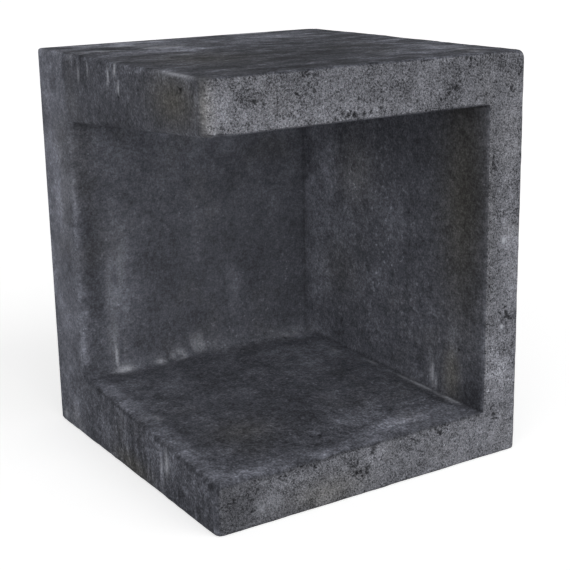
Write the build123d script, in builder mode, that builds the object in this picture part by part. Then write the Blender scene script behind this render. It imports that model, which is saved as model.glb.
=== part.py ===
"""A cast concrete retaining block: a U-shaped element with one end closed, open on two adjoining sides.

Sizes are in millimetres. Z is up, and the origin is at the middle of the base.
The web is at +Y with the two legs reaching from it to -Y. The end wall is at +X, and -X is the open end.
"""

import os

from build123d import *

# Outside of the block
LENGTH = 430.0
DEPTH = 430.0
HEIGHT = 500.0

# Walls, the legs and the end wall thinning from the web to their tips
WEB = 86.0
LEG_ROOT = 85.0
LEG_TIP = 61.0
END_WALL_ROOT = 86.0
END_WALL_TIP = 53.0

# Rounded edges outside: the free corner of the legs and the top of the end wall are the broad ones
BROAD_ARRIS = 10.0
ARRIS = 4.0

# Rounded corners inside the hollow, along the web and round the end wall, and the edge round its mouth
WEB_FILLET = 15.0
END_FILLET = 5.0
MOUTH_ARRIS = 5.0

TIP_FACE = -DEPTH / 2
WEB_FACE = DEPTH / 2 - WEB
OPEN_END = -LENGTH / 2

# The hollow, drawn in plan and then in side view, widens towards the leg tips
with BuildPart() as hollow:
    with BuildSketch(Plane.XY):
        with BuildLine():
            Polyline(
                (-LENGTH, TIP_FACE),
                (LENGTH / 2 - END_WALL_TIP, TIP_FACE),
                (LENGTH / 2 - END_WALL_ROOT, WEB_FACE),
                (-LENGTH, WEB_FACE),
                close=True,
            )
        make_face()
    extrude(amount=HEIGHT)
    with BuildSketch(Plane.YZ):
        with BuildLine():
            Polyline(
                (TIP_FACE, LEG_TIP),
                (WEB_FACE, LEG_ROOT),
                (WEB_FACE, HEIGHT - LEG_ROOT),
                (TIP_FACE, HEIGHT - LEG_TIP),
                close=True,
            )
        make_face()
    extrude(amount=LENGTH, both=True, mode=Mode.INTERSECT)
    fillet(faces().sort_by(Axis.Y)[-1].edges().filter_by(Axis.X), WEB_FILLET)
    end_edges = faces().sort_by(Axis.X)[-1].edges()
    fillet(end_edges - end_edges.group_by(Axis.Y)[0], END_FILLET)

# The block is a box with rounded edges, less the hollow
with BuildPart() as retaining_block:
    with BuildSketch(Plane.XY):
        Rectangle(LENGTH, DEPTH)
    extrude(amount=HEIGHT)
    free_corner = edges().filter_by(Axis.Z).group_by(Axis.Y)[0].sort_by(Axis.X)[0]
    top_of_end_wall = edges().filter_by(Axis.Y).group_by(Axis.Z)[-1].sort_by(Axis.X)[-1]
    fillet([free_corner, top_of_end_wall], BROAD_ARRIS)
    tangent_lines = faces().filter_by(GeomType.CYLINDER).edges().filter_by(GeomType.LINE)
    fillet(edges() - tangent_lines, ARRIS)
    add(hollow.part, mode=Mode.SUBTRACT)
    mouth = edges(Select.LAST).filter_by(
        lambda edge: edge.center().X < OPEN_END + BROAD_ARRIS or edge.center().Y < TIP_FACE + BROAD_ARRIS
    )
    fillet(mouth, MOUTH_ARRIS)

os.makedirs("parts", exist_ok=True)
retaining_block.part.label = "retaining_block"
export_step(retaining_block.part, "parts/retaining_block.step")
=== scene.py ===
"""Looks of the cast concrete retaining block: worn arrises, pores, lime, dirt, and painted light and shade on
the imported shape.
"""

import math

import bpy
import numpy as np
from mathutils import Matrix, Vector


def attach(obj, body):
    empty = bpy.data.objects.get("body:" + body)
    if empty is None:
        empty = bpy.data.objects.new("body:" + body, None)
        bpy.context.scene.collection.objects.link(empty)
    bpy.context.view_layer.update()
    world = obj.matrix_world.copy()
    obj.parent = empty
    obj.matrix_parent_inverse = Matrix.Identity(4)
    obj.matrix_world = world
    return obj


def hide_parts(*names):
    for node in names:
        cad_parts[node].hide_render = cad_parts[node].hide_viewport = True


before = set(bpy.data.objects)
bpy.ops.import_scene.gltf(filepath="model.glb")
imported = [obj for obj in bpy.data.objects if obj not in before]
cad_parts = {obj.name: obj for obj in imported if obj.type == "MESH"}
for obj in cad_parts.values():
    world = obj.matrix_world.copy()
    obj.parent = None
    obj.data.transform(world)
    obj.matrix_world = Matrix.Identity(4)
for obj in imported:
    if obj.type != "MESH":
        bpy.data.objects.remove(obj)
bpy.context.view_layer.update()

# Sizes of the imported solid, in millimetres
LENGTH, DEPTH, HEIGHT = 430.0, 430.0, 500.0
WEB, LEG_ROOT, LEG_TIP = 86.0, 85.0, 61.0
END_WALL_ROOT, END_WALL_TIP = 86.0, 53.0
BROAD_ARRIS, ARRIS, MOUTH_ARRIS = 10.0, 4.0, 5.0
WEB_FILLET, END_FILLET = 15.0, 5.0

MIDDLE = HEIGHT / 2
TIP_FACE = -DEPTH / 2
WEB_FACE = DEPTH / 2 - WEB
OPEN_END = -LENGTH / 2
LEG_SLOPE = (LEG_ROOT - LEG_TIP) / (WEB_FACE - TIP_FACE)
END_SLOPE = (END_WALL_ROOT - END_WALL_TIP) / (WEB_FACE - TIP_FACE)

# The hollow's small fillets, a little sharper than in the solid
SHARP_FILLET = END_FILLET * 0.6

# The net, in millimetres: its grid, the edge lengths wanted in different places, how far an edge may
# exceed them before it is halved, the rounds of halving, and the length below which its ends are joined
GRID = 6.0
PLAIN_EDGE, ARRIS_EDGE, FINE_EDGE, PORE_EDGE = GRID * 1.6, 3.0, 1.5, 0.9
SLACK = 1.47
HALVINGS = 4
SHORTEST = 0.3

# How far the shorter edges reach from arrises, from inner corners and from the seams in these
ARRIS_ZONE, NOOK_ZONE, SEAM_ZONE = 9, 8, 3

# Relief, in millimetres: crevices, roughness of both kinds of face, the ridge, and the spread of a pore group
CREVICE_DEPTH = 1.5
STRUCK_DEPTH, MOULDED_DEPTH = 0.9, 0.4
RIDGE_HEIGHT = 1.3
PORE_SPREAD = 5

# Tones and colours of the concrete and of lime on it
MOULDED_TONE, STRUCK_TONE = 0.091, 0.145
COOL, WARM = (0.94, 0.975, 1.15, 1.0), (1.04, 1.0, 0.9, 1.0)
LIME_COLOUR = (0.38, 0.39, 0.43, 1.0)

# Studio: the floor's radius in metres, colours, and how bright floor and world are
FLOOR_RADIUS = 40
FLOOR_COLOUR = (0.75, 0.75, 0.75, 1.0)
FLOOR_LIFT = 0.6
WORLD_COLOUR = (1.0, 1.0, 1.0, 1.0)
WORLD_LEVEL = 0.28

# Camera: its place and reach in metres, its lens and sensor in millimetres, and its turns in degrees
CAMERA_PLACE = (-0.8208, -1.3173, 0.6477)
CAMERA_LENS, CAMERA_SENSOR, CAMERA_SHIFT = 80.1, 36.0, -0.044
CAMERA_AZIMUTH, CAMERA_ELEVATION, CAMERA_ROLL = -32.37, 14.92, -1.1
CAMERA_REACH = 200


# Shape

def noise(points, size, seed):
    """Smooth noise from -1 to 1 with lumps of the given size."""
    place = points / size
    cell = np.floor(place).astype(np.int64)
    part = place - cell
    part = part * part * (3 - 2 * part)
    total = np.zeros(len(points))
    for corner in np.ndindex(2, 2, 2):
        at = cell + corner
        mixed = at[:, 0] * 73856093 ^ at[:, 1] * 19349663 ^ at[:, 2] * 83492791 ^ seed * 2654435761
        mixed = (mixed ^ (mixed >> 13)) * 1274126177 & 0x7FFFFFFF
        mixed = (mixed ^ (mixed >> 15)) * 739 % 65521
        total += (mixed / 32760.5 - 1) * np.prod(np.where(corner, part, 1 - part), axis=1)
    return total


def round_max(a, b, radius):
    """The larger of two distances, with the edge where they meet rounded."""
    beyond = np.hypot(np.maximum(a + radius, 0), np.maximum(b + radius, 0))
    return np.minimum(np.maximum(a, b), -radius) + beyond


def outer_sides(points):
    """Distances beyond the outside of the block along X, Y and Z, negative inside it."""
    x, y, z = points.T
    return np.abs(x) - LENGTH / 2, np.abs(y) - DEPTH / 2, np.abs(z - MIDDLE) - MIDDLE


def hollow_sides(points):
    """Distances into the hollow from the end wall, the web and the nearer leg, positive in the hollow."""
    x, y, z = points.T
    back = WEB_FACE - y
    end = (LENGTH / 2 - END_WALL_ROOT + END_SLOPE * back - x) / math.hypot(1, END_SLOPE)
    leg = (MIDDLE - np.abs(z - MIDDLE) - LEG_ROOT + LEG_SLOPE * back) / math.hypot(1, LEG_SLOPE)
    return end, back, leg


def distance(points):
    """Signed distance to the worn block."""
    x, y, z = points.T
    wear = 1 + 0.22 * noise(points, 38, 1) + 0.15 * noise(points, 12, 2)
    chips = 1.5 * np.clip(noise(points, 19, 3) - 0.42, 0, 1) * (1 + noise(points, 7, 12))

    # Outside, with broad arrises at the free corner and along the top of the end wall
    free_corner = np.clip((-x - y) / 200 - 1, 0, 1)
    end_top = np.clip(x / 60, 0, 1) * np.clip((z - MIDDLE) / 100, 0, 1)
    along_x, along_y, along_z = outer_sides(points)
    upright = ARRIS + (BROAD_ARRIS - ARRIS) * 0.8 * free_corner
    level = ARRIS + (BROAD_ARRIS - ARRIS) * end_top * np.clip((along_x + 22) / 12, 0, 1)
    outside = round_max(round_max(along_x, along_y, upright * wear), along_z, level * wear)

    # Hollow, with broad fillets between the web and the legs
    end, back, leg = hollow_sides(points)
    near_web = np.clip(1 - back / 60, 0, 1) * (end > back)
    inside = -round_max(-end, -back, SHARP_FILLET)
    inside = -round_max(-inside, -leg, SHARP_FILLET + (WEB_FILLET - SHARP_FILLET) * near_web)

    # Mouth, with its arris broader at the open end and towards the lower free corner
    at_open_end = np.clip((OPEN_END + 40 - x) / 20, 0, 1)
    low_edge = (z < MIDDLE) * np.clip((TIP_FACE + 40 - y) / 30, 0, 1) * np.exp((OPEN_END - x) / 130)
    mouth = MOUTH_ARRIS * (0.6 + 0.5 * at_open_end + 1.4 * low_edge)
    return round_max(outside, inside, mouth * (wear + chips))


def slopes(points, reach):
    """Gradient of the distance."""
    out = np.empty_like(points)
    for axis in range(3):
        step = np.zeros(3)
        step[axis] = reach
        out[:, axis] = (distance(points + step) - distance(points - step)) / (2 * reach)
    return out


def settle(points, rounds):
    """Moves points onto the surface."""
    for _ in range(rounds):
        slope = slopes(points, 0.1)
        points = points - slope * (distance(points) / np.maximum((slope ** 2).sum(axis=1), 0.2))[:, None]
    return points


def net():
    """A closed net of triangles round the block, with one point in each cell that the surface crosses."""
    axes = []
    for low, high in ((-LENGTH / 2, LENGTH / 2), (-DEPTH / 2, DEPTH / 2), (0.0, HEIGHT)):
        count = round((high - low) / GRID)
        step = (high - low) / count
        axes.append(low - step / 2 + step * np.arange(count + 2))
    lattice = np.stack(np.meshgrid(*axes, indexing="ij"), axis=-1)
    solid = distance(lattice.reshape(-1, 3)).reshape(lattice.shape[:3]) < 0
    wide, deep, tall = (size - 1 for size in solid.shape)
    filled = sum(solid[i:i + wide, j:j + deep, k:k + tall].astype(int) for i, j, k in np.ndindex(2, 2, 2))
    crossed = (filled > 0) & (filled < 8)
    number = np.full(crossed.shape, -1)
    number[crossed] = np.arange(crossed.sum())
    middles = [(line[1:] + line[:-1]) / 2 for line in axes]
    points = np.stack(np.meshgrid(*middles, indexing="ij"), axis=-1)[crossed]
    quads = []
    for axis in range(3):
        order = (axis, (axis + 1) % 3, (axis + 2) % 3)
        side = np.transpose(solid, order)
        cells = np.transpose(number, order)
        leaves = side[:-1, 1:-1, 1:-1] & ~side[1:, 1:-1, 1:-1]
        enters = ~side[:-1, 1:-1, 1:-1] & side[1:, 1:-1, 1:-1]
        ring = np.stack([cells[:, :-1, :-1], cells[:, 1:, :-1], cells[:, 1:, 1:], cells[:, :-1, 1:]], axis=-1)
        quads += [ring[leaves], ring[enters][:, ::-1]]
    quads = np.concatenate(quads)
    points = settle(points, 4)
    first = np.linalg.norm(points[quads[:, 0]] - points[quads[:, 2]], axis=1)
    second = np.linalg.norm(points[quads[:, 1]] - points[quads[:, 3]], axis=1)
    turned = np.where((first <= second)[:, None], quads, np.roll(quads, -1, axis=1))
    return points, np.concatenate([turned[:, [0, 1, 2]], turned[:, [0, 2, 3]]])


def split(points, triangles, wanted):
    """Halves each edge that is longer than wanted at its middle, with the triangles beside it."""
    sides = np.stack([triangles, np.roll(triangles, -1, axis=1)], axis=-1)
    pairs, number = np.unique(np.sort(sides.reshape(-1, 2), axis=1), axis=0, return_inverse=True)
    number = number.reshape(-1, 3)
    ends = points[pairs]
    middle = ends.mean(axis=1)
    cut = np.linalg.norm(ends[:, 0] - ends[:, 1], axis=1) > wanted(middle)
    added = np.full(len(pairs), -1)
    added[cut] = len(points) + np.arange(cut.sum())
    fresh = settle(middle[cut], 2)
    count = cut[number].sum(axis=1)
    made = [triangles[count == 0]]
    corner, new = triangles[count == 3], added[number[count == 3]]
    made += [np.stack([corner[:, i], new[:, i], new[:, i - 1]], axis=1) for i in range(3)] + [new]
    for turn in range(3):
        corner, new = np.roll(triangles, -turn, axis=1), np.roll(added[number], -turn, axis=1)
        one = (count == 1) & (new[:, 0] >= 0)
        a, b, c = corner[one].T
        ab = new[one, 0]
        made += [np.stack([a, ab, c], axis=1), np.stack([ab, b, c], axis=1)]
        two = (count == 2) & (new[:, 2] < 0)
        a, b, c = corner[two].T
        ab, bc = new[two, 0], new[two, 1]
        made += [np.stack([ab, b, bc], axis=1), np.stack([a, ab, bc], axis=1), np.stack([a, bc, c], axis=1)]
    return np.concatenate([points, fresh]), np.concatenate(made)


def weld(points, triangles):
    """Joins points closer together than SHORTEST, and drops the triangles that lose their area by it."""
    pairs = np.sort(np.stack([triangles, np.roll(triangles, -1, axis=1)], axis=-1).reshape(-1, 2), axis=1)
    short = np.linalg.norm(points[pairs[:, 0]] - points[pairs[:, 1]], axis=1) < SHORTEST
    joined = np.arange(len(points))
    for first, second in np.unique(pairs[short], axis=0):
        joined[joined == joined[second]] = joined[first]
    triangles = joined[triangles]
    triangles = triangles[(triangles != np.roll(triangles, 1, axis=1)).all(axis=1)]
    used, triangles = np.unique(triangles, return_inverse=True)
    return points[used], triangles.reshape(-1, 3)


def arris_distance(points):
    """How far a point on the surface is from the nearest outward edge."""
    outer = np.sort(np.stack(outer_sides(points)), axis=0)
    hollow = np.min(np.stack(hollow_sides(points)), axis=0)
    on_outside = outer[2] > hollow
    return np.where(on_outside, np.minimum(-outer[1], np.abs(hollow)), np.abs(outer[2]))


def nook_distance(points):
    """How far a point in the hollow is from the nearest inner corner; large outside the hollow."""
    outer = np.max(np.stack(outer_sides(points)), axis=0)
    hollow = np.sort(np.stack(hollow_sides(points)), axis=0)
    return np.where(outer > hollow[0], 1000.0, np.abs(hollow[1]))


# Marks: each is a soft spot with its place, its reach along X, Y and Z, and its strength

# Lime that has run down or been smeared
LIME = [
    # Web and floor of the hollow
    (-163, 129, 215, 16, 20, 70, 0.22), (-166, 129, 125, 10, 20, 34, 0.3), (-77, 126, 86, 12, 10, 8, 0.9),
    (-45, 128, 98, 22, 10, 14, 0.4), (104, 118, 84, 26, 8, 6, 0.5),
    # End wall, inside
    (150, -95, 66, 10, 40, 5, 0.5), (158, -150, 90, 12, 26, 26, 0.12),
    # Open end and tip face
    (-215, -92, 42, 5, 10, 22, 0.5), (-152, -215, 22, 16, 6, 10, 0.5),
    # Top: the whitish streaks along the back are partly lime and partly a painted reflection of the bright
    # surroundings
    (-106, 2, 500, 30, 12, 5, 0.5), (-35, 1, 500, 30, 12, 5, 0.5), (114, 110, 500, 40, 20, 5, 0.5),
    (165, -140, 500, 20, 50, 5, 0.45), (-140, 150, 500, 60, 14, 5, 1.0), (-60, 190, 500, 120, 12, 5, 1.1),
    (60, 205, 500, 90, 9, 5, 0.8), (-170, 110, 500, 40, 16, 5, 0.9), (-70, 110, 500, 60, 12, 5, 0.8),
    (-190, 196, 500, 26, 12, 5, 1.0),
]

# Small solid specks of lime
SMALL = [
    # Web and floor of the hollow
    (-160, 124, 83, 13, 9, 5, 1.5), (-167, 129, 104, 2.4, 10, 17, 0.9), (-107, 126, 84, 7, 10, 4, 1.0),
    (-190, -30, 71, 4, 7, 4, 0.6), (118, 40, 81, 4, 9, 4, 0.6),
    # End wall, inside
    (154, -127, 88, 10, 1.8, 15, 1.3), (154, -133, 78, 10, 1.5, 9, 0.9),
    # Open end
    (-215, 6, 483, 5, 2.2, 8, 1.3), (-215, -13, 492, 5, 2, 7, 1.3), (-215, -20, 472, 5, 2, 6, 1.2),
    (-215, 62, 486, 5, 2, 8, 0.7), (-215, 90, 478, 5, 2, 9, 0.6), (-214, -160, 499, 3, 36, 2, 0.9),
    (-215, -98, 46, 5, 3.5, 14, 1.1), (-215, -84, 38, 5, 2.5, 10, 0.8), (-215, 196, 12, 4, 5, 6, 0.8),
    # Tip face
    (189, -215, 275, 3, 4, 3, 1.8), (189, -215, 166, 2.6, 4, 2.6, 1.4),
]

# Paler patches, some of them painted light
PALE = [
    # Web, inside, its upper part made paler as painted light where the upper leg shades it
    (-157, 129, 235, 19, 20, 90, 0.5), (-20, 129, 385, 160, 20, 70, 0.65), (90, 129, 350, 60, 20, 90, 0.55),
    (42, 129, 320, 34, 20, 60, 0.5), (13, 129, 165, 10, 20, 40, 0.6),
    # End wall, inside, made paler as painted light where the hollow shades it
    (131, 96, 250, 5, 42, 260, 0.6), (150, -70, 150, 20, 110, 70, 0.3), (133, 88, 300, 10, 44, 75, 0.95),
    (139, 29, 270, 12, 50, 110, 0.45), (145, -35, 240, 12, 60, 120, 0.35),
    # Floor of the hollow, with a pale strip along its front that is partly wear and partly painted light
    (95, 112, 84, 50, 14, 8, 0.7), (-150, 60, 80, 50, 70, 8, 0.3), (88, 40, 79, 46, 46, 8, 0.7),
    (60, -186, 63, 90, 16, 8, 1.1), (90, -120, 66, 40, 20, 8, 0.3), (5, -150, 66, 42, 36, 8, 0.6),
    (-150, -190, 63, 60, 20, 8, 0.25),
    # Tip face; the end wall's end is made paler as painted light from the upper right
    (186, -215, 115, 24, 8, 34, 0.8), (198, -215, 300, 16, 8, 200, 0.3), (150, -215, 30, 80, 6, 40, 0.2),
    (-60, -215, 452, 150, 6, 14, 0.2), (-180, -215, 460, 40, 6, 40, 0.2), (-130, -215, 36, 30, 6, 14, 0.3),
    (-20, -215, 46, 30, 6, 12, 0.2), (95, -215, 50, 30, 6, 12, 0.2), (-213, -213, 470, 9, 9, 44, 0.3),
    # Open end; the thin mark along the lower edge of the upper leg's end is a painted highlight on its worn
    # arris
    (-215, 180, 270, 12, 46, 320, 1.15), (-215, -92, 42, 10, 34, 34, 0.5), (-215, 12, 30, 8, 36, 34, 0.5),
    (-215, 140, 455, 8, 50, 40, 0.5), (-215, -180, 32, 8, 30, 34, 0.3), (-214, -150, 434.5, 3, 50, 3.5, 0.5),
    # Top: pale patches and streaks, partly a painted reflection of the bright surroundings
    (-104, 66, 500, 70, 34, 8, 1.6), (50, 136, 500, 120, 34, 8, 1.1), (120, -138, 500, 70, 28, 8, 1.4),
    (160, -140, 500, 36, 24, 8, 2.5), (150, -60, 500, 50, 110, 8, 0.8), (-110, 185, 500, 120, 26, 8, 1.2),
    (-196, 120, 500, 24, 70, 8, 0.8),
    # Outsides of the end wall and the web
    (215, -80, 180, 8, 90, 90, 0.4), (215, 120, 380, 8, 70, 60, 0.35), (60, 215, 150, 110, 8, 80, 0.4),
    (-120, 215, 360, 70, 8, 90, 0.35),
]

# Darker patches, some of them painted shade
DARK = [
    # Web, inside, its lower part made darker as painted shade
    (-196, 129, 250, 14, 20, 260, 0.7), (-85, 129, 240, 45, 20, 110, 0.5), (80, 129, 180, 80, 20, 120, 0.55),
    (116, 129, 260, 16, 4, 230, 0.3), (-80, 128, 125, 105, 12, 50, 0.45),
    # End wall, inside
    (160, -190, 330, 20, 28, 130, 1.0), (158, -175, 405, 20, 50, 40, 0.7), (157, -160, 285, 16, 40, 46, 0.5),
    (159, -186, 70, 14, 28, 24, 1.3), (140, -95, 66, 12, 80, 5, 0.9), (157, -166, 95, 12, 9, 30, 0.6),
    (161, -200, 76, 10, 17, 28, 1.4),
    # Floor of the hollow
    (-40, -110, 66, 90, 50, 10, 0.5), (80, -84, 70, 44, 26, 8, 0.35), (-118, -145, 66, 34, 36, 8, 0.55),
    # Open end
    (-215, -110, 450, 8, 80, 44, 0.4), (-215, -130, 16, 8, 60, 18, 0.8), (-215, -35, 430, 8, 60, 24, 1.0),
    (-215, 105, 35, 8, 36, 40, 0.3), (-215, 20, 2, 8, 120, 14, 0.6),
    # Tip face
    (-190, -215, 26, 46, 6, 44, 1.1), (-150, -215, 4, 70, 6, 12, 0.7), (-60, -215, 2, 60, 6, 10, 0.5),
    # Top
    (0, -80, 500, 150, 90, 8, 0.7), (-181, -130, 500, 40, 90, 8, 0.5), (-80, -192, 500, 70, 22, 8, 0.9),
    # Outsides of the end wall and the web
    (215, 40, 14, 8, 220, 22, 0.6), (0, 215, 14, 240, 8, 22, 0.6),
]

# Brown stains
BROWN = [
    # End wall, inside
    (157, -160, 95, 12, 15, 36, 0.9), (158, -175, 330, 16, 36, 150, 0.8), (138, 20, 330, 20, 40, 50, 0.3),
    (136, 50, 190, 20, 40, 40, 0.2),
    # Open end and tip face
    (-215, -150, 470, 6, 50, 26, 0.8), (-215, -5, 10, 8, 50, 16, 0.7), (-212, -212, 470, 10, 10, 40, 0.6),
    (-70, -215, 16, 50, 6, 20, 0.7),
    # Top and floor of the hollow
    (-120, -50, 500, 60, 60, 8, 0.4), (-120, -110, 66, 40, 30, 8, 0.4),
]

# Streaks where water drips
DRIP = [
    (-215, -60, 40, 8, 190, 60, 1.0), (-215, 100, 480, 8, 150, 40, 0.4), (158, -150, 110, 20, 60, 60, 0.6),
    (215, 0, 400, 10, 260, 170, 0.45), (0, 215, 400, 260, 10, 170, 0.45),
]

# Places with a stronger grain, a fainter grain and strewn pale flecks
COARSE = [
    (-215, -60, 30, 10, 240, 60, 0.5), (0, 0, 500, 400, 400, 20, 0.4), (-20, -170, 63, 220, 90, 12, 0.35),
]
CALM = [(-20, 129, 250, 220, 8, 260, 0.35), (-215, 178, 250, 12, 60, 320, 0.35)]
FLECKED = [(147, -40, 230, 10, 100, 110, 1.0), (-20, -60, 70, 200, 150, 16, 0.6)]

# Larger pores: each has its place, its radius and its depth as a share of the radius
PORES = [
    # Tip face, lower leg
    (-4, -215, 60, 5.0, 1.0), (-3, -215, 53, 3.4, 1.0), (-22, -215, 30, 2.6, 0.9),
    (-87, -215, 52, 2.6, 0.9), (-120, -215, 55, 2.8, 0.8), (-126, -215, 51, 2.0, 0.8),
    (88, -215, 57, 2.2, 0.9), (99, -215, 59, 2.6, 0.9), (107, -215, 57, 1.8, 0.9),
    (181, -215, 53, 3.0, 0.9),
    # Tip face, upper leg
    (-54, -215, 444, 2.2, 0.9), (-45, -215, 449, 2.6, 0.9), (-37, -215, 446, 2.6, 0.9),
    (-29, -215, 445, 3.2, 1.0), (-17, -215, 446, 2.6, 0.9), (-7, -215, 448, 2.4, 0.9),
    (6, -215, 450, 1.9, 0.9), (90, -215, 452, 2.2, 0.9), (102, -215, 458, 2.4, 0.8),
    (111, -215, 462, 2.6, 0.9), (118, -215, 470, 2.0, 0.9),
    # Tip face, end wall
    (170, -215, 369, 2.6, 0.9), (173, -215, 363, 2.2, 0.9),
    # Edges of the top and the open end
    (66, -213, 498, 2.6, 0.8), (73, -213, 498, 2.2, 0.8),
    (-215, -166, 484, 2.4, 0.9), (-215, -160, 481, 2.0, 0.8),
    # Floor of the hollow
    (-46, -164, 65, 3.0, 0.9), (-57, -163, 65, 2.4, 0.8), (16, 46, 79, 2.2, 0.8), (84, 112, 84, 3.0, 0.9),
]

# Crumbling on the struck face gathers round these places: X, Z and reach
CRUMBS = [
    (-27, 447, 22), (-4, 57, 16), (-120, 54, 22), (-25, 34, 20), (102, 458, 16), (171, 366, 14),
    (70, 497, 14), (181, 52, 16), (-195, 440, 16), (-150, 468, 18), (-90, 482, 20), (192, 180, 20),
    (-170, 30, 22), (60, 40, 24), (130, 478, 22), (195, 455, 16), (97, 58, 15),
]


def spots(points, marks):
    """The strength of the marks at each point, taken from the strongest one there."""
    total = np.zeros(len(points))
    for x, y, z, wide, deep, high, strength in marks:
        reach = ((points - (x, y, z)) / (wide, deep, high)) ** 2
        total = np.maximum(total, strength * np.exp(-reach.sum(axis=1)))
    return total


def ridge_share(points):
    """A thin ridge on the floor of the hollow, at the foot of the end wall."""
    y, z = points[:, 1], points[:, 2]
    end, _, leg = hollow_sides(points)
    across = np.exp(-((end - 6 - 1.5 * noise(points, 45, 14)) / 3.2) ** 2)
    along = np.clip((-50 - y) / 15, 0, 1) * np.clip((y + 192) / 15, 0, 1)
    along = along + 0.7 * np.exp(-((y + 18) / 12) ** 2)
    return across * along * (z < MIDDLE) * (np.abs(leg) < 4)


def draw_pores(points):
    """The larger pores, and small ones strewn over the net's points, singly and in groups."""
    rng = np.random.default_rng(11)
    on_tip = points[:, 1] < TIP_FACE + 2
    on_outside = (points[:, 0] > LENGTH / 2 - 2) | (points[:, 1] > DEPTH / 2 - 2)
    strewn = []
    for chosen, groups, most, small, large in (
        (on_tip, 26, 3, 1.2, 2.6), (~on_tip, 110, 3, 0.9, 3.0), (on_outside, 26, 2, 1.4, 4.2),
    ):
        for index in rng.choice(np.flatnonzero(chosen), groups, replace=False):
            for _ in range(rng.integers(1, most + 1)):
                place = points[index] + rng.normal(0, PORE_SPREAD, 3)
                strewn.append((*place, small + (large - small) * rng.random() ** 3, rng.uniform(0.5, 0.9)))
    return np.array(strewn + PORES)


points, triangles = net()
pores = draw_pores(points)


def wanted(middle):
    """The longest edge allowed at a place: short on the struck face, at arrises and corners, and in pores."""
    nook = nook_distance(middle)
    length = np.where((arris_distance(middle) < ARRIS_ZONE) | (nook < NOOK_ZONE), ARRIS_EDGE, PLAIN_EDGE)
    length[(middle[:, 1] < TIP_FACE + 1.5) | (nook < SEAM_ZONE)] = FINE_EDGE
    length[(ridge_share(middle) > 0.05) | (spots(middle, SMALL) > 0.1)] = FINE_EDGE
    for x, y, z, radius, _ in pores:
        near = np.linalg.norm(middle - (x, y, z), axis=1) < radius * 1.25 + 0.6
        length[near] = np.minimum(length[near], max(PORE_EDGE, radius * 0.45))
    return length * SLACK


for _ in range(HALVINGS):
    points, triangles = split(points, triangles, wanted)
points, triangles = weld(points, triangles)
normal = slopes(points, 0.6)
normal /= np.linalg.norm(normal, axis=1)[:, None]

# Struck face, with crevices where it crumbles
struck = np.clip((-normal[:, 1] - 0.7) / 0.2, 0, 1) * np.clip((TIP_FACE + 8 - points[:, 1]) / 5, 0, 1)
crumbs = np.clip((noise(points, 34, 21) - 0.25) / 0.5, 0, 0.5)
for x, z, reach in CRUMBS:
    crumbs = np.maximum(crumbs, np.exp(-((points[:, 0] - x) ** 2 + (points[:, 2] - z) ** 2) / reach ** 2))
gaps = noise(points, 3.4, 22) + 0.6 * noise(points, 2.1, 23)
crevice = struck * np.clip((gaps - 0.8 + 0.5 * crumbs) / 0.3, 0, 1) * np.clip(crumbs * 2, 0, 1)

# Depth of crevices, pores and roughness, and height of the ridge
# hole holds the painted shade of the crevices and pores
hole = crevice.copy()
sunk = CREVICE_DEPTH * crevice
for x, y, z, radius, deep in pores:
    near = np.flatnonzero(np.linalg.norm(points - (x, y, z), axis=1) < radius * 1.8)
    away = np.linalg.norm(points[near] - (x, y, z), axis=1)
    away = away * (1 + 0.45 * noise(points[near], radius * 0.9, 9))
    shape = np.sqrt(np.clip(1 - (away / radius) ** 2, 0, 1))
    hole[near] = np.maximum(hole[near], shape)
    sunk[near] = np.maximum(sunk[near], shape * radius * deep)
rough = 0.5 + 0.28 * noise(points, 17, 4) + 0.25 * noise(points, 6, 5) + 0.25 * noise(points, 3.3, 8)
even = 0.3 + 0.25 * noise(points, 90, 6) + 0.05 * noise(points, 25, 7)
sunk += STRUCK_DEPTH * struck * rough + MOULDED_DEPTH * (1 - struck) * even
ridge = ridge_share(points) * np.clip(0.6 + 0.5 * noise(points, 20, 13) + 0.4 * noise(points, 7, 15), 0, 1.2)

# Worn arrises, painted shade in the inner corners, and the pale band and dark lip of the lower leg at the
# mouth
worn = np.exp(-np.maximum(arris_distance(points), 0) / 7)
nook = np.exp(-(nook_distance(points) / 4) ** 2)
seam = np.exp(-(nook_distance(points) / 1.8) ** 2)
outer = np.max(np.stack(outer_sides(points)), axis=0)
inner = np.min(np.stack(hollow_sides(points)), axis=0)
low = np.clip((MIDDLE - points[:, 2]) / 50, 0, 1)
# The pale band on the floor of the hollow near the mouth is partly wear and partly a painted highlight
band = low * np.clip(normal[:, 2] * 5 - 4, 0, 1) * np.exp(-((outer + 13) / 11) ** 2)
lip = low * np.clip((0.9 - normal[:, 2]) / 0.3, 0, 1) * np.clip(normal[:, 2] / 0.2, 0, 1)
lip = lip * (outer > -9) * (inner > -9)
worn *= 1 - lip
upward = np.clip(normal[:, 2] * 2 - 1, 0, 1) * np.where(points[:, 2] > MIDDLE, 1, 0.25)

layers = {
    "struck": struck, "hole": hole, "worn": worn, "nook": nook, "seam": seam, "facing_up": upward,
    "white": np.maximum(spots(points, SMALL), ridge),
    "lime": np.maximum(spots(points, LIME), 0.9 * ridge),
    # pale and dark carry the pale and dark marks, some of them painted light and shade
    "pale": np.maximum(spots(points, PALE), 0.75 * band),
    "dark": np.maximum(spots(points, DARK), 0.85 * lip),
    "brown": spots(points, BROWN),
    "drip": spots(points, DRIP),
    "flecked": spots(points, FLECKED),
    "rugged": 1 + spots(points, COARSE) - spots(points, CALM),
}
points = points + normal * (RIDGE_HEIGHT * ridge - np.maximum(sunk, 0))[:, None]

mesh = bpy.data.meshes.new("block_surface")
mesh.from_pydata((points / 1000).tolist(), [], triangles.tolist())
mesh.validate()
mesh.polygons.foreach_set("use_smooth", np.ones(len(mesh.polygons), dtype=bool))
block = bpy.data.objects.new("block_surface", mesh)
bpy.context.collection.objects.link(block)
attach(block, "root")
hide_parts("retaining_block")

for name, values in layers.items():
    layer = mesh.attributes.new(name, "FLOAT", "POINT")
    layer.data.foreach_set("value", values.astype(np.float32))


# Material

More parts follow.
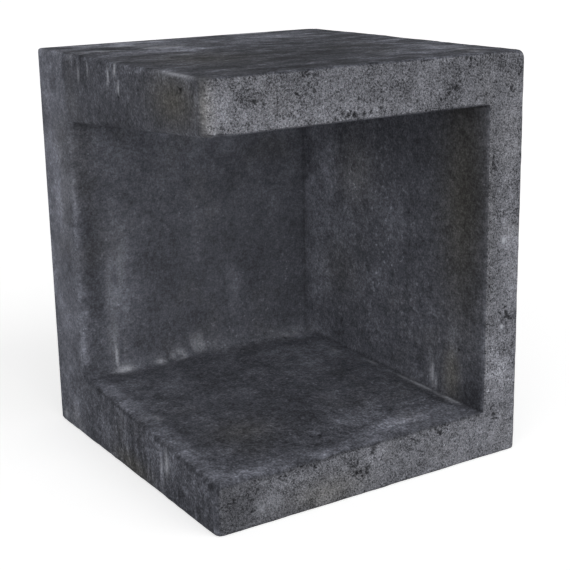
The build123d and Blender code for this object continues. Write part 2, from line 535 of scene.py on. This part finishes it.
class Nodes:
    """Short calls for building a node tree."""

    def __init__(self, tree):
        self.tree = tree
        tree.nodes.clear()

    def put(self, kind, inputs=(), **settings):
        """A new node with its inputs linked or set."""
        node = self.tree.nodes.new("ShaderNode" + kind)
        for key, value in settings.items():
            setattr(node, key, value)
        for key, value in dict(inputs).items():
            self.set(node.inputs[key], value)
        return node

    def set(self, socket, value):
        """Links a socket to another one, or gives it a value."""
        if isinstance(value, bpy.types.NodeSocket):
            self.tree.links.new(value, socket)
        else:
            socket.default_value = value

    def math(self, operation, *values, clamp=False):
        """The result of a Math node."""
        node = self.put("Math", operation=operation, use_clamp=clamp)
        for socket, value in zip(node.inputs, values):
            self.set(socket, value)
        return node.outputs[0]

    def attribute(self, name):
        """A value stored on the mesh's points."""
        return self.put("Attribute", attribute_name=name).outputs["Fac"]

    def background_rays(self):
        """1 for a ray that shows the background: straight to the camera, in a gloss or through glass."""
        rays = self.put("LightPath").outputs
        either = self.math("MAXIMUM", rays["Is Camera Ray"], rays["Is Glossy Ray"])
        return self.math("MAXIMUM", either, rays["Is Transmission Ray"])

    def noise(self, place, scale, detail=3.0, roughness=0.55, distortion=0.0):
        """Noise from 0 to 1."""
        inputs = {"Vector": place, "Scale": scale, "Detail": detail, "Roughness": roughness,
                  "Distortion": distortion}
        return self.put("TexNoise", inputs).outputs["Fac"]

    def ramp(self, value, low, high):
        """0 below low, 1 above high, and smooth between."""
        inputs = {"Value": value, "From Min": low, "From Max": high}
        return self.put("MapRange", inputs, interpolation_type="SMOOTHSTEP").outputs["Result"]

    def mix(self, share, first, second):
        """The first colour where the share is 0, and the second where it is 1."""
        node = self.put("Mix", data_type="RGBA")
        self.set(node.inputs["Factor"], share)
        self.set(node.inputs["A"], first)
        self.set(node.inputs["B"], second)
        return node.outputs["Result"]


def sway(n, parts):
    """The sum of noises, each taken from its middle and weighted."""
    total = 0.0
    for value, weight in parts:
        total = n.math("MULTIPLY_ADD", n.math("SUBTRACT", value, 0.5), weight, total)
    return total


def shade(n, base, share):
    """A tone made lighter or darker by a share of itself, never quite black."""
    return n.math("MULTIPLY", n.math("MAXIMUM", n.math("ADD", share, 1.0), 0.15), base)


def bloom(n, base, share):
    """A tone made lighter or darker by a share of itself, its pale grains further out than its dark ones."""
    return n.math("MULTIPLY", n.math("POWER", math.e, share), base)


def concrete():
    """Dark cast concrete, lighter and rougher where it was struck off, with the marks and the painted light
    and shade on it.
    """
    material = bpy.data.materials.new("cast_concrete")
    material.use_nodes = True
    n = Nodes(material.node_tree)
    place = n.put("TexCoord").outputs["Object"]
    tall = n.put("Mapping", {"Vector": place, "Scale": (1.0, 1.0, 0.18)}).outputs[0]
    long = n.put("Mapping", {"Vector": place, "Scale": (0.42, 1.0, 1.0)}).outputs[0]
    struck, hole, worn, nook = (n.attribute(name) for name in ("struck", "hole", "worn", "nook"))
    lime, white, facing_up = (n.attribute(name) for name in ("lime", "white", "facing_up"))
    seam, drip, rugged, flecked = (n.attribute(name) for name in ("seam", "drip", "rugged", "flecked"))
    pale, dark, brown = (n.attribute(name) for name in ("pale", "dark", "brown"))

    # Noises from the largest to the finest, then flecks, and dark dots as painted shade in small holes
    cloud = n.noise(place, 8.0, 3.0)
    patch = n.noise(place, 30.0, 4.0, 0.6)
    mottle = n.noise(place, 110.0, 3.0, 0.6)
    pit = n.noise(place, 210.0, 1.0, 0.5)
    grain = n.noise(place, 420.0, 1.0, 0.5)
    grit = n.noise(place, 900.0, 1.0, 0.6)
    streak = n.noise(tall, 75.0, 3.0, 0.5)
    smear = n.noise(long, 40.0, 6.0, 0.7, 0.4)
    fleck = n.math("MULTIPLY", n.ramp(n.noise(place, 190.0, 1.0), 0.69, 0.76), n.ramp(cloud, 0.45, 0.6))
    strewn = n.math("MULTIPLY", n.ramp(n.noise(place, 150.0, 0.0), 0.73, 0.78), flecked)
    speck = n.ramp(n.noise(place, 300.0, 0.0), 0.76, 0.82)
    pinhole = n.math("MULTIPLY", n.ramp(n.noise(place, 380.0, 1.0), 0.66, 0.73), n.ramp(patch, 0.42, 0.58))
    pock = n.math("MULTIPLY", n.ramp(n.noise(place, 270.0, 1.0), 0.62, 0.7), n.ramp(patch, 0.5, 0.64))
    pock = n.math("MULTIPLY", pock, struck)

    # Tone of the moulded and the struck faces, and of the marks
    broad = sway(n, ((cloud, 1.1), (patch, 1.0)))
    fine = sway(n, ((mottle, 1.45), (pit, 0.9), (grain, 1.2), (grit, 0.5)))
    moulded = bloom(n, MOULDED_TONE, n.math("MULTIPLY_ADD", fine, rugged, broad))
    coarse = sway(n, ((cloud, 0.6), (patch, 1.4), (mottle, 1.5), (pit, 0.4), (grain, 2.3), (grit, 3.0)))
    open_face = shade(n, STRUCK_TONE, coarse)
    # Up-facing faces: darker overall, with long pale streaks that are partly pale deposits and partly a
    # painted reflection of the bright surroundings
    top_tone = n.math("SUBTRACT", sway(n, ((patch, 1.2), (smear, 4.4))), 0.25)
    runs = sway(n, ((streak, 2.6),))
    for mask, change in ((facing_up, top_tone), (drip, runs)):
        moulded = bloom(n, moulded, n.math("MULTIPLY", mask, change))
    edge = n.math("MULTIPLY", worn, n.ramp(patch, 0.4, 0.62))
    moulded = n.math("MULTIPLY", moulded, n.math("MULTIPLY_ADD", edge, 0.45, 1.0))
    rim = n.math("MULTIPLY", n.math("POWER", worn, 2.0), n.ramp(mottle, 0.4, 0.6))
    open_face = n.math("MULTIPLY", open_face, n.math("MULTIPLY_ADD", rim, 0.35, 1.0))
    tone = n.math("ADD", moulded, n.math("MULTIPLY", struck, n.math("SUBTRACT", open_face, moulded)))
    uneven = n.math("MULTIPLY_ADD", n.ramp(patch, 0.3, 0.7), 0.4, 0.6)
    # The pale and dark marks, some of them painted light and shade, vary with the patches
    soft = n.math("MULTIPLY", pale, uneven)
    deep = n.math("MULTIPLY", dark, uneven)
    # Painted shade darkens the pinholes and pocks, the inner corners (nook, seam), and the pores and crevices
    # (hole)
    for mask, weight in (
        (soft, 1.25), (speck, 0.4), (fleck, 0.8), (strewn, 1.2), (pinhole, -0.5), (pock, -0.6),
        (nook, -0.3), (seam, -0.4), (deep, -0.52), (hole, -0.75),
    ):
        tone = n.math("MULTIPLY", tone, n.math("MULTIPLY_ADD", mask, weight, 1.0))

    # Colour, from cool grey to brown, with lime over it
    warm = n.math("MULTIPLY", n.ramp(n.noise(place, 11.0, 3.0, 0.5), 0.52, 0.72), 0.14)
    warm = n.math("MULTIPLY", n.math("MAXIMUM", warm, brown), n.math("MULTIPLY_ADD", struck, -0.5, 1.0))
    warm = n.math("MULTIPLY_ADD", struck, 0.22, warm)
    hue = n.mix(warm, COOL, WARM)
    colour = n.put("VectorMath", {0: hue, "Scale": tone}, operation="SCALE").outputs[0]
    trail = n.ramp(streak, 0.36, 0.62)
    trail = n.math("MULTIPLY_ADD", facing_up, n.math("SUBTRACT", n.ramp(smear, 0.46, 0.62), trail), trail)
    white = n.math("MAXIMUM", white, n.math("MULTIPLY", lime, trail))
    white = n.math("MULTIPLY", white, n.math("MULTIPLY_ADD", grain, 1.6, 0.1), clamp=True)
    colour = n.mix(white, colour, LIME_COLOUR)

    # Roughness and the finest relief
    rough = n.math("MULTIPLY_ADD", struck, 0.08, n.math("MULTIPLY_ADD", patch, 0.24, 0.76), clamp=True)
    relief = n.math("MULTIPLY_ADD", grit, 0.5, n.math("MULTIPLY_ADD", mottle, 0.6, grain))
    relief = n.math("MULTIPLY", relief, n.math("MULTIPLY_ADD", struck, 0.65, 0.35))
    bump = n.put("Bump", {"Strength": 0.7, "Distance": 0.003, "Height": relief}).outputs[0]
    inputs = {"Base Color": colour, "Roughness": rough, "Normal": bump, "Specular IOR Level": 0.05}
    shader = n.put("BsdfPrincipled", inputs)
    n.put("OutputMaterial", {"Surface": shader.outputs[0]})
    return material


mesh.materials.append(concrete())


# Floor, light and camera

def pale_floor():
    """A pale matt floor that is seen nearly white and keeps the block's shadow."""
    material = bpy.data.materials.new("pale_floor")
    material.use_nodes = True
    n = Nodes(material.node_tree)
    base = n.put("BsdfDiffuse", {"Color": FLOOR_COLOUR})
    lift = n.put("Emission", {"Strength": n.math("MULTIPLY", n.background_rays(), FLOOR_LIFT)})
    both = n.put("AddShader", {0: base.outputs[0], 1: lift.outputs[0]})
    n.put("OutputMaterial", {"Surface": both.outputs[0]})
    return material


def studio():
    """A world that is seen white and lights the block less brightly."""
    world = bpy.data.worlds.new("studio")
    world.use_nodes = True
    n = Nodes(world.node_tree)
    strength = n.math("MULTIPLY_ADD", n.background_rays(), 1 - WORLD_LEVEL, WORLD_LEVEL)
    background = n.put("Background", {"Color": WORLD_COLOUR, "Strength": strength})
    n.put("OutputWorld", {"Surface": background.outputs[0]})
    return world


def turn_towards(azimuth, elevation):
    """The turn of a lamp or camera that looks at the block from the given side."""
    turn, rise = math.radians(azimuth), math.radians(elevation)
    back = Vector((math.sin(turn) * math.cos(rise), -math.cos(turn) * math.cos(rise), math.sin(rise)))
    return back.to_track_quat("Z", "Y")


def lamp(name, azimuth, elevation, spread, level):
    """A broad soft light, far away, under which a white sheet facing it renders at the given level."""
    data = bpy.data.lights.new(name, "SUN")
    data.angle = math.radians(spread)
    data.energy = level * math.pi
    lit = bpy.data.objects.new(name, data)
    bpy.context.collection.objects.link(lit)
    lit.rotation_euler = turn_towards(azimuth, elevation).to_euler()


bpy.ops.mesh.primitive_circle_add(vertices=96, radius=FLOOR_RADIUS, fill_type="NGON", location=(0, 0, 0))
floor = bpy.context.object
floor.name = "floor"
floor.data.materials.append(pale_floor())

bpy.context.scene.world = studio()
lamp("key", azimuth=18, elevation=20, spread=70, level=0.6)
lamp("fill", azimuth=-50, elevation=10, spread=70, level=0.48)

camera = bpy.data.objects.new("camera", bpy.data.cameras.new("camera"))
bpy.context.collection.objects.link(camera)
camera.data.lens = CAMERA_LENS
camera.data.sensor_width = CAMERA_SENSOR
camera.data.shift_y = CAMERA_SHIFT
camera.data.clip_end = CAMERA_REACH
camera.location = CAMERA_PLACE
level_turn = turn_towards(CAMERA_AZIMUTH, CAMERA_ELEVATION).to_matrix()
camera.rotation_euler = (level_turn @ Matrix.Rotation(math.radians(CAMERA_ROLL), 3, "Z")).to_euler()
bpy.context.scene.camera = camera
bpy.context.scene.view_settings.view_transform = "Standard"
